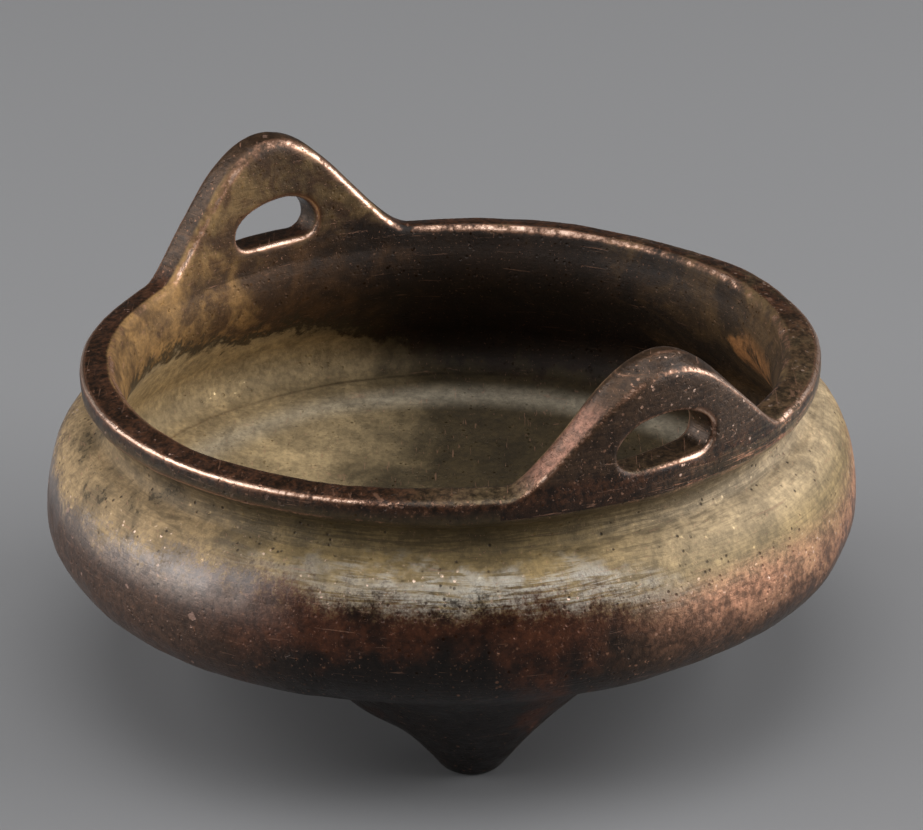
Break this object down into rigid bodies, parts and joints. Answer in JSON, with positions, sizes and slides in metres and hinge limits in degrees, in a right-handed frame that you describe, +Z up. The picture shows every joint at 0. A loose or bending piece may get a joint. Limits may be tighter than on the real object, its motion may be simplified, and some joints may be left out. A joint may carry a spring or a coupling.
{
  "type": "tripod incense burner",
  "caption": "Small cast bronze censer: a low bulging bowl with a thick lip, upright pierced loop ears to lift it by, and blunt conical feet, for burning incense in ash.",
  "frame": {"origin": "point on the table under the middle of the bowl, in the plane of the three foot tips", "axes": "+Z up along the axis of the bowl, X through the two ears, +Y towards the foot that stands midway between the ears"},
  "size_m": [0.12, 0.12, 0.0674],
  "materials": {
    "bowl_bronze": "aged, part olive patina, part dark reddish brown",
    "ear_bronze": "aged, dark brown with bright worn edges",
    "foot_bronze": "aged, nearly black brown"
  },
  "bodies": {
    "root": {"bowl": "bowl_bronze", "ear_left": "ear_bronze", "ear_right": "ear_bronze", "foot_back": "foot_bronze", "foot_left": "foot_bronze", "foot_right": "foot_bronze"}
  },
  "joints": []
}
